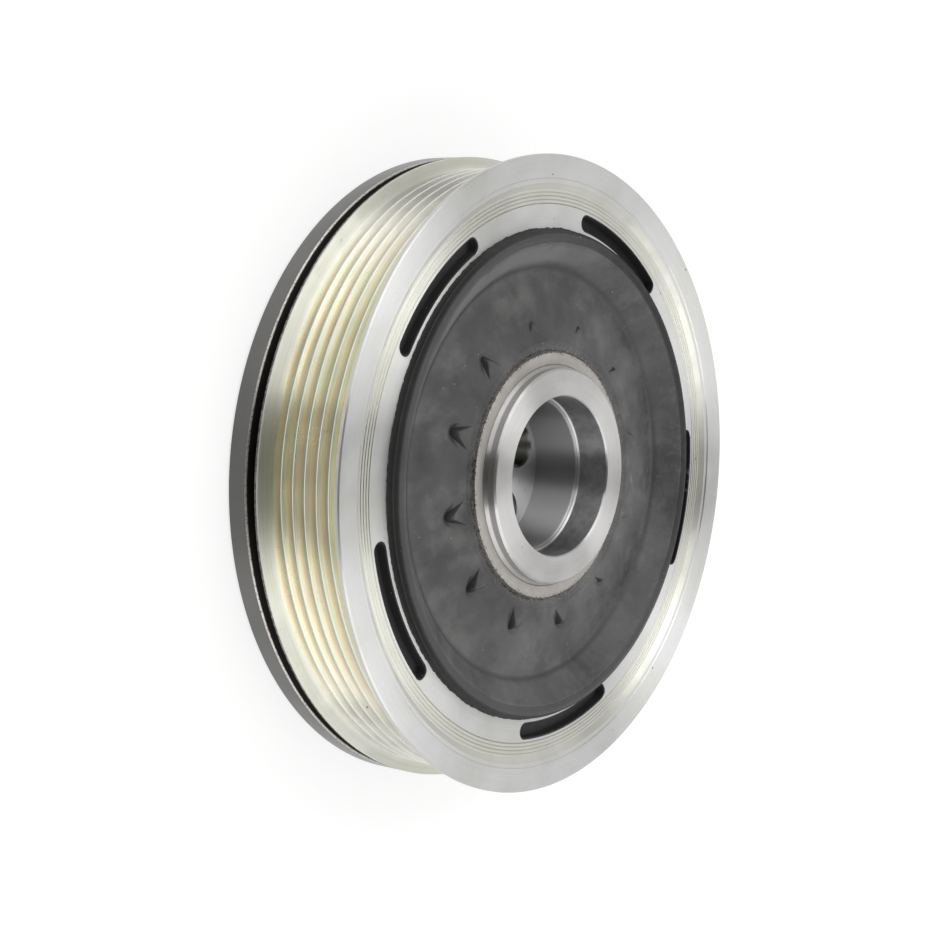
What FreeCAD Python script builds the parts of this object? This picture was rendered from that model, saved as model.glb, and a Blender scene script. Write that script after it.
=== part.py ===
import FreeCAD, Part
import math
import os
import re
import Sketcher

# A decoupled crankshaft pulley with a torsional vibration damper.
# Frame: the crank's axis is Z, the front of the engine is +Z, and the origin is the centre
# of the face that seats on the crank's nose. +X runs through one crank bolt hole.
# Lengths are in millimetres, heights count from the seat, angles are in degrees.

SIZES = {
    # Crank interface
    "bolt_count": 4,
    "bolt_circle": 24.0,
    "bolt_hole": 9.0,
    "bolt_bevel": 1.0,
    "bolt_margin": 0.4,
    "pilot_step": 1.5,
    "pilot_depth": 4.4,
    "pilot_bevel": 0.6,
    "collar_wall": 7.5,
    "collar_bevel": 0.8,
    # Hub: cup, boss, web and rim
    "floor_thickness": 8.6,
    "cup_depth": 21.65,
    "cup_bevel": 0.6,
    "cup_ledge": 1.1,
    "ledge_slope": 0.7,
    "mouth_depth": 8.4,
    "mouth_bevel": 0.3,
    "boss_wall": 6.9,
    "boss_stand": 3.05,
    "boss_bevel": 0.5,
    "shoulder_width": 2.4,
    "shoulder_rise": 4.0,
    "hub_web_lift": 2.5,
    "hub_web_thickness": 5.5,
    "hub_web_bevel": 2.4,
    "rim_wall": 4.2,
    "rim_sink": 4.9,
    "rim_recess": 2.6,
    # Decoupler: inner sleeve
    "sleeve_wall": 3.7,
    "sleeve_bevel": 0.5,
    # Decoupler: front of the rubber disc
    "valley_width": 3.0,
    "valley_depth": 0.5,
    "field_drop": 0.3,
    "field_width": 17.1,
    "field_fall": 3.7,
    "slope_width": 6.7,
    "slope_rise": 5.6,
    "brow_width": 1.2,
    "brow_rise": 0.3,
    "lip_width": 1.2,
    "lip_stand": 2.65,
    "wall_width": 1.0,
    # Decoupler: back of the rubber disc, its skirt behind the web and its lugs in the slots
    "foot_gap": 1.2,
    "waist_width": 9.8,
    "waist_sink": 5.1,
    "back_margin": 4.0,
    "back_slope": 2.4,
    "back_sink": 2.7,
    "skirt_margin": 0.55,
    "skirt_clearance": 0.7,
    "lug_recess": 0.1,
    "lug_wall": 0.4,
    "lug_floor": 0.4,
    # Wedges that stand on the rubber's field
    "wedge_count": 12,
    "wedge_phase": 15.0,
    "wedge_root": 0.4,
    "wedge_reach": 5.8,
    "wedge_nose": 0.9,
    "wedge_half_angle": 32.0,
    "wedge_drop": 0.1,
    "wedge_depth": 1.6,
    # Pulley: web, dished face and slots
    "web_set": 1.1,
    "web_thickness": 2.8,
    "web_bite": 2.4,
    "face_margin": 4.25,
    "face_step": 1.4,
    "face_step_rise": 0.95,
    "dish_depth": 1.9,
    "slot_count": 5,
    "slot_phase": 36.3,
    "slot_half_angle": 14.9,
    "slot_margin": 0.75,
    "slot_width": 4.3,
    # Pulley: belt rim
    "belt_wall": 2.35,
    "rib_pitch": 3.56,
    "groove_count": 6,
    "groove_depth": 3.25,
    "groove_half_angle": 20.0,
    "tip_flat": 0.4,
    "flange_stand": 3.1,
    "flange_width": 1.33,
    "flange_bevel": 0.3,
    "land_drop": 0.2,
    "land_width": 1.6,
    "land_bevel": 0.6,
    # Plain bearings between inertia ring and pulley
    "thrust_gap": 0.3,
    "thrust_width": 3.0,
    "thrust_thickness": 1.7,
    "thrust_clearance": 0.2,
    "bush_wall": 1.8,
    "bush_clearance": 0.1,
    "bush_inset": 2.05,
    # Damper: rubber track and inertia ring
    "barrel_wall": 12.4,
    "track_thickness": 3.5,
    "track_margin": 1.2,
    "ring_gap": 2.15,
    "ring_width": 6.0,
    "ring_drop": 0.2,
    "ring_bevel": 0.9,
    "ring_rear_bevel": 0.7,
    "balance_inset": 11.0,
    "balance_hole": 9.0,
    "balance_depth": 2.6,
    "balance_phase": 112.0,
    "balance_step": 13.0,
}

# Radii and heights worked out from the sizes, and shared by the pieces that meet there
PLACES = {
    "cup_radius": "bolt_circle / 2 + bolt_hole / 2 + bolt_bevel + bolt_margin + cup_bevel",
    "pilot_radius": "cup_radius + pilot_step",
    "collar_radius": "pilot_radius + collar_wall",
    "mouth_radius": "cup_radius + cup_ledge",
    "boss_radius": "mouth_radius + boss_wall",
    "shoulder_radius": "boss_radius + shoulder_width",
    "sleeve_radius": "boss_radius + sleeve_wall",
    "field_start": "sleeve_radius + valley_width",
    "wedge_base": "field_start - wedge_root",
    "wedge_centre": "field_start + wedge_reach - wedge_nose",
    "wedge_side": "(wedge_centre - wedge_base) * tan(wedge_half_angle) + wedge_nose / cos(wedge_half_angle)",
    "trough_radius": "field_start + field_width",
    "crown_radius": "trough_radius + slope_width",
    "brow_radius": "crown_radius + brow_width",
    "lip_radius": "brow_radius + lip_width",
    "rubber_radius": "lip_radius + wall_width",
    "web_radius": "rubber_radius - web_bite",
    "slot_inner": "rubber_radius + slot_margin",
    "slot_outer": "slot_inner + slot_width",
    "skirt_radius": "slot_outer + skirt_margin",
    "thrust_inner": "skirt_radius + thrust_gap",
    "bore_radius": "thrust_inner + thrust_width",
    "root_radius": "bore_radius + belt_wall",
    "tip_radius": "root_radius + groove_depth",
    "flange_radius": "tip_radius + flange_stand",
    "land_radius": "flange_radius - land_drop",
    "ring_radius": "flange_radius - ring_drop",
    "face_edge": "slot_outer + face_margin",
    "dish_radius": "face_edge + face_step",
    "barrel_radius": "bore_radius - bush_wall - bush_clearance",
    "track_radius": "barrel_radius - barrel_wall",
    "rim_radius": "track_radius - track_thickness",
    "rim_inner": "rim_radius - rim_wall",
    "hub_front": "floor_thickness + cup_depth",
    "ledge_top": "hub_front - mouth_depth",
    "sleeve_front": "hub_front - boss_stand",
    "web_front": "sleeve_front - web_set",
    "web_rear": "web_front - web_thickness",
    "flange_front": "web_front + dish_depth",
    "flank": "tan(groove_half_angle)",
    "root_flat": "rib_pitch - tip_flat - 2 * groove_depth * flank",
    "mouth_half": "root_flat / 2 + groove_depth * flank",
    "first_groove": "flange_front - flange_width - root_flat / 2 - (flange_radius - root_radius) * flank",
    "last_groove": "first_groove - (groove_count - 1) * rib_pitch",
    "land_front": "last_groove - root_flat / 2 - (land_radius - root_radius) * flank",
    "rim_tail": "land_front - land_width",
    "ring_front": "rim_tail - ring_gap",
    "ring_rear": "ring_front - ring_width",
    "thrust_rear": "web_rear - thrust_thickness",
    "barrel_top": "thrust_rear - thrust_clearance",
    "skirt_rear": "barrel_top + skirt_clearance",
    "rim_front": "barrel_top - rim_sink",
    "rim_rear": "ring_rear + rim_recess",
    "hub_web_front": "hub_web_lift + hub_web_thickness",
    "shoulder_height": "hub_web_front + shoulder_rise",
    "field_height": "sleeve_front - field_drop",
    "trough_height": "field_height - field_fall",
    "crown_height": "trough_height + slope_rise",
}

TOLERANCE = 1e-4
EDGE_REACH = 0.01

os.makedirs("parts", exist_ok=True)
doc = FreeCAD.newDocument("balancer")
sheet = doc.addObject("Spreadsheet::Sheet", "Sizes")
for row, (alias, number) in enumerate(SIZES.items(), start=1):
    sheet.set("A%d" % row, alias)
    sheet.set("B%d" % row, str(number))
    sheet.setAlias("B%d" % row, alias)
doc.recompute()


def linked(text):
    """The expression with each place written out and each size's name pointing at the sheet."""
    def swap(match):
        word = match.group()
        if word in PLACES:
            return "(%s)" % linked(PLACES[word])
        return "Sizes." + word if word in SIZES else word
    return re.sub(r"[a-z_]+", swap, text)


def value(text):
    """What an expression in the sizes comes to now."""
    return float(sheet.evalExpression(linked(text)))


def bind(feature, path, text):
    feature.setExpression(path, linked(text))


def new_body(label):
    body = doc.addObject("PartDesign::Body", label)
    body.Label = label
    return body


def origin_part(body, role):
    return next(part for part in body.Origin.OriginFeatures if part.Role == role)


def new_sketch(body, name, role, lift="0", turn="0"):
    """A sketch on one of the body's origin planes, lifted off it and turned about the axis of the lift."""
    sketch = body.newObject("Sketcher::SketchObject", name)
    sketch.AttachmentSupport = (origin_part(body, role), [""])
    sketch.MapMode = "FlatFace"
    up = FreeCAD.Vector(0, 0, 1)
    sketch.AttachmentOffset = FreeCAD.Placement(up * value(lift), FreeCAD.Rotation(up, value(turn)))
    if lift != "0":
        bind(sketch, "AttachmentOffset.Base.z", lift)
    if turn != "0":
        bind(sketch, "AttachmentOffset.Rotation.Angle", turn)
    return sketch


def pin(sketch, item, point, across, up):
    """Hold one point of the sketch at a distance across and up from its origin."""
    for kind, text, axis in (("DistanceX", across, -2), ("DistanceY", up, -1)):
        if text == "0":
            sketch.addConstraint(Sketcher.Constraint("PointOnObject", item, point, axis))
        else:
            held = sketch.addConstraint(Sketcher.Constraint(kind, -1, 1, item, point, value(text)))
            bind(sketch, "Constraints[%d]" % held, text)


def outline(body, name, corners):
    """A closed section of straight runs in the XZ plane, each corner given as radius and height."""
    sketch = new_sketch(body, name, "XZ_Plane")
    spots = [FreeCAD.Vector(value(radius), value(height), 0) for radius, height in corners]
    for index, spot in enumerate(spots):
        sketch.addGeometry(Part.LineSegment(spot, spots[(index + 1) % len(spots)]), False)
    for index in range(len(spots)):
        sketch.addConstraint(Sketcher.Constraint("Coincident", index, 2, (index + 1) % len(spots), 1))
    for index, (radius, height) in enumerate(corners):
        pin(sketch, index, 1, radius, height)
    return sketch


def turned(body, name, corners, kind="Revolution"):
    """Turn a section about Z, to add it or, as a Groove, to cut it."""
    sketch = outline(body, name + "_section", corners)
    feature = body.newObject("PartDesign::" + kind, name)
    feature.Profile = sketch
    feature.ReferenceAxis = (sketch, ["V_Axis"])
    feature.Angle = 360
    settle(body, feature, cuts=kind == "Groove")
    return feature


def settle(body, feature, cuts=False):
    """Make a feature the body's last one, and see that it took away or added something."""
    before = feature.BaseFeature.Shape.Volume if feature.BaseFeature else 0.0
    body.Tip = feature
    doc.recompute()
    after = feature.Shape.Volume
    changed = before - after if cuts else after - before
    if changed <= TOLERANCE:
        raise RuntimeError("%s changed nothing in %s" % (feature.Name, body.Label))


def around(body, feature, name, count):
    """Repeat a feature evenly about Z."""
    pattern = body.newObject("PartDesign::PolarPattern", name)
    pattern.Originals = [feature]
    pattern.Axis = (origin_part(body, "Z_Axis"), [""])
    pattern.Angle = 360
    bind(pattern, "Occurrences", count)
    body.Tip = pattern
    doc.recompute()
    return pattern


def ring_edges(shape, radius, height):
    """Names of the circular edges about Z with this radius at this height."""
    names = []
    for index, edge in enumerate(shape.Edges, start=1):
        curve = edge.Curve
        if not isinstance(curve, Part.Circle):
            continue
        off_size = abs(curve.Radius - value(radius))
        off_centre = curve.Center.distanceToPoint(FreeCAD.Vector(0, 0, value(height)))
        if off_size < EDGE_REACH and off_centre < EDGE_REACH:
            names.append("Edge%d" % index)
    if not names:
        raise RuntimeError("no edge at radius %s, height %s" % (radius, height))
    return names


def edge_break(body, name, size, rings):
    """Chamfer the circular edges given by radius and height."""
    base = body.Tip
    names = []
    for radius, height in rings:
        names += ring_edges(base.Shape, radius, height)
    feature = body.newObject("PartDesign::Chamfer", name)
    feature.Base = (base, names)
    bind(feature, "Size", size)
    body.Tip = feature
    doc.recompute()
    return feature


def arc_slot(body, name, lift, turn, inner, outer, half_angle):
    """A slot bent round Z with round ends; half_angle reaches to the centres of its ends."""
    sketch = new_sketch(body, name, "XY_Plane", lift, turn)
    low, high, reach = value(inner), value(outer), value(half_angle)
    middle = "((%s + %s) / 2)" % (inner, outer)
    up = FreeCAD.Vector(0, 0, 1)
    sweep = math.radians(reach)
    origin = FreeCAD.Vector(0, 0, 0)
    far, near = [FreeCAD.Rotation(up, side * reach).multVec(FreeCAD.Vector(value(middle), 0, 0))
                 for side in (1, -1)]
    end_radius = (high - low) / 2
    arcs = [
        (origin, high, -sweep, sweep),
        (far, end_radius, sweep, sweep + math.pi),
        (origin, low, -sweep, sweep),
        (near, end_radius, math.pi - sweep, 2 * math.pi - sweep),
    ]
    for centre, radius, start, stop in arcs:
        sketch.addGeometry(Part.ArcOfCircle(Part.Circle(centre, up, radius), start, stop), False)
    for item in (0, 2):
        sketch.addConstraint(Sketcher.Constraint("Coincident", item, 3, -1, 1))
    for first, first_point, second, second_point in ((0, 2, 1, 1), (1, 2, 2, 2), (2, 1, 3, 1), (3, 2, 0, 1)):
        sketch.addConstraint(Sketcher.Constraint("Tangent", first, first_point, second, second_point))
    for item, text in ((0, outer), (2, inner)):
        held = sketch.addConstraint(Sketcher.Constraint("Radius", item, value(text)))
        bind(sketch, "Constraints[%d]" % held, text)
    for item, sign in ((1, ""), (3, "-")):
        text = "%s%s * sin(%s)" % (sign, middle, half_angle)
        held = sketch.addConstraint(Sketcher.Constraint("DistanceY", -1, 1, item, 3, value(text)))
        bind(sketch, "Constraints[%d]" % held, text)
    return sketch


def padded(body, name, sketch, length, downward=False):
    """Material added above the sketch's plane, or below it."""
    pad = body.newObject("PartDesign::Pad", name)
    pad.Profile = sketch
    pad.Type = "Length"
    pad.Reversed = downward
    bind(pad, "Length", length)
    settle(body, pad)
    return pad


def sunk(body, name, sketch, depth):
    """A pocket below the sketch's plane."""
    pocket = body.newObject("PartDesign::Pocket", name)
    pocket.Profile = sketch
    pocket.Type = "Length"
    bind(pocket, "Length", depth)
    settle(body, pocket, cuts=True)
    return pocket


def circle_spot(body, name, lift, turn, distance, diameter):
    """A sketch with one circle at a distance from Z."""
    sketch = new_sketch(body, name, "XY_Plane", lift, turn)
    centre = FreeCAD.Vector(value(distance), 0, 0)
    circle = Part.Circle(centre, FreeCAD.Vector(0, 0, 1), value(diameter) / 2)
    sketch.addGeometry(circle, False)
    pin(sketch, 0, 3, distance, "0")
    held = sketch.addConstraint(Sketcher.Constraint("Diameter", 0, value(diameter)))
    bind(sketch, "Constraints[%d]" % held, diameter)
    return sketch


def make_hub():
    """Turned cup, web and rim, with the crank's pilot recess behind and bolt holes in the floor."""
    body = new_body("hub")
    turned(body, "blank", [
        ("0", "floor_thickness"),
        ("cup_radius", "floor_thickness"),
        ("cup_radius", "ledge_top - ledge_slope"),
        ("mouth_radius", "ledge_top"),
        ("mouth_radius", "hub_front"),
        ("boss_radius", "hub_front"),
        ("boss_radius", "shoulder_height"),
        ("shoulder_radius", "shoulder_height"),
        ("shoulder_radius", "hub_web_front"),
        ("rim_inner", "hub_web_front"),
        ("rim_inner", "rim_front"),
        ("rim_radius", "rim_front"),
        ("rim_radius", "rim_rear"),
        ("rim_inner", "rim_rear"),
        ("rim_inner", "hub_web_lift"),
        ("collar_radius", "hub_web_lift"),
        ("collar_radius", "-pilot_depth"),
        ("pilot_radius", "-pilot_depth"),
        ("pilot_radius", "0"),
        ("0", "0"),
    ])
    edge_break(body, "web_corners", "hub_web_bevel", [
        ("shoulder_radius", "hub_web_front"), ("rim_inner", "hub_web_front"),
        ("rim_inner", "hub_web_lift"), ("collar_radius", "hub_web_lift")])
    edge_break(body, "cup_corner", "cup_bevel", [("cup_radius", "floor_thickness")])
    edge_break(body, "boss_edge", "boss_bevel", [("boss_radius", "hub_front")])
    edge_break(body, "mouth_edge", "mouth_bevel", [("mouth_radius", "hub_front")])
    edge_break(body, "collar_edge", "collar_bevel", [("collar_radius", "-pilot_depth")])
    edge_break(body, "pilot_edge", "pilot_bevel", [("pilot_radius", "-pilot_depth")])
    hole = body.newObject("PartDesign::Hole", "bolt_hole")
    hole.Profile = circle_spot(body, "bolt_spot", "floor_thickness", "0", "bolt_circle / 2", "bolt_hole")
    doc.recompute()
    hole.DepthType = "ThroughAll"
    hole.HoleCutType = "Countersink"
    hole.HoleCutCustomValues = True
    bind(hole, "Diameter", "bolt_hole")
    bind(hole, "HoleCutDiameter", "bolt_hole + 2 * bolt_bevel")
    hole.HoleCutCountersinkAngle = 90
    settle(body, hole, cuts=True)
    around(body, hole, "bolt_holes", "bolt_count")
    return body


def make_sleeve():
    """Steel sleeve that carries the decoupler's rubber, pressed onto the hub's boss."""
    body = new_body("decoupler_sleeve")
    turned(body, "tube", [
        ("boss_radius", "shoulder_height"),
        ("sleeve_radius", "shoulder_height"),
        ("sleeve_radius", "sleeve_front"),
        ("boss_radius", "sleeve_front"),
    ])
    edge_break(body, "front_edge", "sleeve_bevel", [("boss_radius", "sleeve_front")])
    return body


def wedge_outline(body, name, lift, turn):
    """A wedge with its straight base towards the axis and its round nose away from it."""
    sketch = new_sketch(body, name, "XY_Plane", lift, turn)
    radius, base, side = value("wedge_nose"), value("wedge_base"), value("wedge_side")
    lean = math.radians(value("wedge_half_angle"))
    centre = FreeCAD.Vector(value("wedge_centre"), 0, 0)
    above = centre + FreeCAD.Vector(math.sin(lean), math.cos(lean), 0) * radius
    below = centre + FreeCAD.Vector(math.sin(lean), -math.cos(lean), 0) * radius
    left, right = FreeCAD.Vector(base, side, 0), FreeCAD.Vector(base, -side, 0)
    sketch.addGeometry(Part.Arc(below, centre + FreeCAD.Vector(radius, 0, 0), above), False)
    for start, stop in ((above, left), (left, right), (right, below)):
        sketch.addGeometry(Part.LineSegment(start, stop), False)
    sketch.addConstraint(Sketcher.Constraint("Tangent", 0, 2, 1, 1))
    sketch.addConstraint(Sketcher.Constraint("Coincident", 1, 2, 2, 1))
    sketch.addConstraint(Sketcher.Constraint("Coincident", 2, 2, 3, 1))
    sketch.addConstraint(Sketcher.Constraint("Tangent", 3, 2, 0, 1))
    pin(sketch, 0, 3, "wedge_centre", "0")
    pin(sketch, 2, 1, "wedge_base", "wedge_side")
    pin(sketch, 2, 2, "wedge_base", "-wedge_side")
    held = sketch.addConstraint(Sketcher.Constraint("Radius", 0, radius))
    bind(sketch, "Constraints[%d]" % held, "wedge_nose")
    return sketch


def make_decoupler_rubber():
    """Rubber disc moulded round the pulley's web: coned field, raised rim, rear skirt and slot lugs."""
    body = new_body("decoupler_rubber")
    turned(body, "disc", [
        ("sleeve_radius", "field_height - valley_depth"),
        ("field_start", "field_height"),
        ("trough_radius", "trough_height"),
        ("crown_radius", "crown_height"),
        ("brow_radius", "crown_height + brow_rise"),
        ("lip_radius", "web_front + lip_stand"),
        ("rubber_radius", "web_front"),
        ("web_radius", "web_front"),
        ("web_radius", "web_rear"),
        ("skirt_radius", "web_rear"),
        ("skirt_radius", "skirt_rear"),
        ("web_radius - back_margin", "skirt_rear"),
        ("web_radius - back_margin - back_slope", "web_rear - back_sink"),
        ("sleeve_radius + waist_width", "web_rear - waist_sink"),
        ("sleeve_radius", "shoulder_height + foot_gap"),
    ])
    plug = arc_slot(body, "lug_outline", "web_rear", "slot_phase",
                    "slot_inner", "slot_outer", "slot_half_angle")
    lug = padded(body, "lug", plug, "web_thickness - lug_recess")
    around(body, lug, "lugs", "slot_count")
    well = arc_slot(body, "well_outline", "web_front - lug_recess", "slot_phase",
                    "slot_inner + lug_wall", "slot_outer - lug_wall", "slot_half_angle")
    hollow = sunk(body, "well", well, "web_thickness - lug_recess - lug_floor")
    around(body, hollow, "wells", "slot_count")
    top = wedge_outline(body, "wedge_outline", "field_height - wedge_drop", "wedge_phase")
    wedge = padded(body, "wedge", top, "wedge_depth", downward=True)
    around(body, wedge, "wedges", "wedge_count")
    return body


def make_pulley():
    """Belt rim, dished face and web, turned from one blank, then grooved and slotted."""
    body = new_body("pulley")
    turned(body, "blank", [
        ("bore_radius", "rim_tail"),
        ("land_radius", "rim_tail"),
        ("land_radius", "land_front"),
        ("tip_radius", "last_groove - mouth_half"),
        ("tip_radius", "first_groove + mouth_half"),
        ("flange_radius", "flange_front - flange_width"),
        ("flange_radius", "flange_front"),
        ("dish_radius", "web_front + face_step_rise"),
        ("face_edge", "web_front"),
        ("web_radius", "web_front"),
        ("web_radius", "web_rear"),
        ("bore_radius", "web_rear"),
    ])
    groove = turned(body, "belt_groove", [
        ("root_radius", "first_groove - root_flat / 2"),
        ("tip_radius", "first_groove - mouth_half"),
        ("tip_radius", "first_groove + mouth_half"),
        ("root_radius", "first_groove + root_flat / 2"),
    ], kind="Groove")
    rows = body.newObject("PartDesign::LinearPattern", "belt_grooves")
    rows.Originals = [groove]
    rows.Direction = (origin_part(body, "Z_Axis"), [""])
    rows.Reversed = True
    bind(rows, "Length", "(groove_count - 1) * rib_pitch")
    bind(rows, "Occurrences", "groove_count")
    body.Tip = rows
    doc.recompute()
    edge_break(body, "flange_edge", "flange_bevel", [("flange_radius", "flange_front")])
    edge_break(body, "land_edge", "land_bevel", [("land_radius", "rim_tail")])
    profile = arc_slot(body, "slot_outline", "web_front", "slot_phase",
                       "slot_inner", "slot_outer", "slot_half_angle")
    slot = sunk(body, "slot", profile, "web_thickness")
    around(body, slot, "slots", "slot_count")
    return body


def make_bush():
    """Plain bearing sleeve pressed into the pulley, running on the inertia ring's barrel."""
    body = new_body("bearing_bush")
    turned(body, "sleeve", [
        ("barrel_radius + bush_clearance", "rim_tail + bush_inset"),
        ("bore_radius", "rim_tail + bush_inset"),
        ("bore_radius", "thrust_rear"),
        ("barrel_radius + bush_clearance", "thrust_rear"),
    ])
    return body


def make_thrust_ring():
    """Flat bearing ring between the inertia ring's end and the pulley's web."""
    body = new_body("thrust_ring")
    turned(body, "washer", [
        ("thrust_inner", "thrust_rear"),
        ("bore_radius", "thrust_rear"),
        ("bore_radius", "web_rear"),
        ("thrust_inner", "web_rear"),
    ])
    return body


def make_track():
    """Rubber ring squeezed between the hub's rim and the inertia ring."""
    body = new_body("damper_rubber")
    turned(body, "track", [
        ("rim_radius", "rim_rear + track_margin"),
        ("track_radius", "rim_rear + track_margin"),
        ("track_radius", "rim_front - track_margin"),
        ("rim_radius", "rim_front - track_margin"),
    ])
    return body


def make_inertia_ring():
    """Heavy ring: a barrel nested in the pulley, and a wide band behind it."""
    body = new_body("inertia_ring")
    turned(body, "blank", [
        ("track_radius", "ring_rear"),
        ("ring_radius", "ring_rear"),
        ("ring_radius", "ring_front"),
        ("barrel_radius", "ring_front"),
        ("barrel_radius", "barrel_top"),
        ("track_radius", "barrel_top"),
    ])
    edge_break(body, "front_edge", "ring_bevel", [("ring_radius", "ring_front")])
    edge_break(body, "rear_edges", "ring_rear_bevel", [
        ("ring_radius", "ring_rear"), ("track_radius", "ring_rear")])
    for side, turn in (("left", "balance_phase"), ("right", "balance_phase + balance_step")):
        spot = circle_spot(body, "balance_spot_" + side, "ring_rear", turn,
                           "track_radius + balance_inset", "balance_hole")
        drilled = body.newObject("PartDesign::Pocket", "balance_drilling_" + side)
        drilled.Profile = spot
        drilled.Type = "Length"
        drilled.Reversed = True
        bind(drilled, "Length", "balance_depth")
        settle(body, drilled, cuts=True)
    return body


def check(pieces):
    """Stop on any failed feature, and on any piece that isn't one sound solid."""
    for item in doc.Objects:
        if "Invalid" in item.State or "Error" in item.State:
            raise RuntimeError("%s failed: %s" % (item.Name, item.State))
    for piece in pieces:
        shape = piece.Shape
        if shape.isNull() or not shape.isValid() or len(shape.Solids) != 1:
            raise RuntimeError("%s isn't one sound solid" % piece.Label)


PIECES = [
    make_hub(),
    make_sleeve(),
    make_decoupler_rubber(),
    make_pulley(),
    make_bush(),
    make_thrust_ring(),
    make_track(),
    make_inertia_ring(),
]
doc.recompute()
check(PIECES)
for piece in PIECES:
    piece.Shape.exportStep("parts/%s.step" % piece.Label)
    box = piece.Shape.BoundBox
    print("%-18s volume %10.1f  height %7.2f to %6.2f  radius %6.2f" % (
        piece.Label, piece.Shape.Volume, box.ZMin, box.ZMax, box.XMax))
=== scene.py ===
import math

import bmesh
import bpy
from mathutils import Matrix, Vector, noise


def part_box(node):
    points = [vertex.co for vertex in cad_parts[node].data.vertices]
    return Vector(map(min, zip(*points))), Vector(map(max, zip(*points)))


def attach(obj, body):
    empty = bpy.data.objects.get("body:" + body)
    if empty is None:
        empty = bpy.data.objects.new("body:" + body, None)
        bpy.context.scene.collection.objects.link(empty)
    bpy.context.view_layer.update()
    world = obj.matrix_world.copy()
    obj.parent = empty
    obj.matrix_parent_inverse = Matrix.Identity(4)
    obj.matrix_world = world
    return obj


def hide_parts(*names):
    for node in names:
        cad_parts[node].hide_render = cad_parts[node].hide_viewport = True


# The looks of a decoupled crankshaft pulley with a torsional vibration damper.
# Everything is in metres, with the pulley's axis on Z and its front towards +Z.

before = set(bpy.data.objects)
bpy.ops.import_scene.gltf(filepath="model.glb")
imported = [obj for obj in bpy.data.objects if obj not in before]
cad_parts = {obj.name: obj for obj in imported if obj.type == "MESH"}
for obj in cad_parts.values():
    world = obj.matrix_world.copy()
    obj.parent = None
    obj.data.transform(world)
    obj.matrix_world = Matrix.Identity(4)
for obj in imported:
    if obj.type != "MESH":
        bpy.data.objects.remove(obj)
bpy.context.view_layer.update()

MM = 0.001
ROOT_BODY = "root"
SHARP_ANGLE = math.radians(28)
FINE_TURN = 360
COARSE_TURN = 240
RUBBER_TURN = 600
HOLE_SIDES = 96
DRILLING_SIDES = 64
PHOTO_TURN = math.radians(-30)  # from +X to the photo's right, about Z

# Places read from the frame
hub_low, hub_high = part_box("hub")
sleeve_low, sleeve_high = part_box("decoupler_sleeve")
rubber_low, rubber_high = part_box("decoupler_rubber")
pulley_low, pulley_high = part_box("pulley")
bush_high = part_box("bearing_bush")[1]
thrust_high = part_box("thrust_ring")[1]
track_low, track_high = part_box("damper_rubber")
ring_low, ring_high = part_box("inertia_ring")

# Pulley
FLANGE_RADIUS = pulley_high.x
FLANGE_FRONT = pulley_high.z
RIM_TAIL = pulley_low.z
WEB_REAR = thrust_high.z
WEB_FRONT = WEB_REAR + 2.8 * MM
BORE_RADIUS = bush_high.x
RIB_PITCH = 3.56 * MM
GROOVES = 6
TIP_RADIUS = FLANGE_RADIUS - 3.1 * MM
ROOT_RADIUS = TIP_RADIUS - 3.25 * MM
TIP_FLAT = 0.4 * MM
FLANK = math.tan(math.radians(20))
ROOT_FLAT = RIB_PITCH - TIP_FLAT - 2 * (TIP_RADIUS - ROOT_RADIUS) * FLANK
FLANGE_WIDTH = 1.33 * MM
FIRST_GROOVE = FLANGE_FRONT - FLANGE_WIDTH - ROOT_FLAT / 2 - (FLANGE_RADIUS - ROOT_RADIUS) * FLANK
LAND_RADIUS = FLANGE_RADIUS - 0.2 * MM
FACE_EDGE = 69.6 * MM
FACE_STEP = 71.1 * MM
BEAD = 72.2 * MM
RING_CUTS = (  # the radius and depth of each
    (66.2 * MM, 0.34 * MM),
    (67.1 * MM, 0.22 * MM),
    (68.0 * MM, 0.24 * MM),
    (68.9 * MM, 0.18 * MM),
)
RING_CUT_WIDTH = 0.32 * MM
SLOTS = 5
SLOT_PHASE = math.radians(36.3)
SLOT_TURNS = [SLOT_PHASE + 2 * math.pi * index / SLOTS for index in range(SLOTS)]
SLOT_HALF = math.radians(14.9)
SLOT_INNER = 61.15 * MM
SLOT_OUTER = 65.45 * MM

# Rubber disc
SLEEVE_RADIUS = sleeve_high.x
FIELD_HEIGHT = sleeve_high.z - 0.3 * MM
TROUGH_RADIUS = 50.3 * MM
TROUGH_HEIGHT = FIELD_HEIGHT - 3.7 * MM
SLOPE_TOP = 56.55 * MM
RIM_STEP = 57.15 * MM
CROWN_RADIUS = 58.2 * MM
CROWN_HEIGHT = rubber_high.z
PARTING_RADIUS = 59.98 * MM
RUBBER_RADIUS = 60.4 * MM
WEB_RADIUS = 58.0 * MM
SKIRT_RADIUS = rubber_high.x
SKIRT_INNER = 54.0 * MM
BACK_FOLD = 51.6 * MM
BACK_FIELD = 40.0 * MM
FLASH_RAGS = ((9, 0.10), (37, 0.22), (90, 0.18))  # the scale and size, in mm, of each noise on the flash
WEDGES = 12
WEDGE_PHASE = math.radians(15)
WEDGE_BASE = 32.8 * MM
WEDGE_CENTRE = 38.1 * MM
WEDGE_NOSE = 0.9 * MM
WEDGE_LEAN = math.radians(32)
WEDGE_TOP = FIELD_HEIGHT - 0.1 * MM
WEDGE_PULL = 1.3 * MM
HOLLOW_DEPTH = 0.9 * MM
HOLLOW_REACH = 1.5 * MM
WEDGE_ROWS = (  # each loop's growth and its drop from the top, in mm, and its share of the pull
    (0.20, 2.70, 0.0),
    (0.10, 1.60, 0.1),
    (0.02, 0.90, 0.4),
    (-0.02, 0.25, 0.85),
    (-0.10, 0.08, 1.0),
    (-0.28, 0.0, 1.0),
)
WEDGE_SINK = 0.8 * MM
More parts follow.
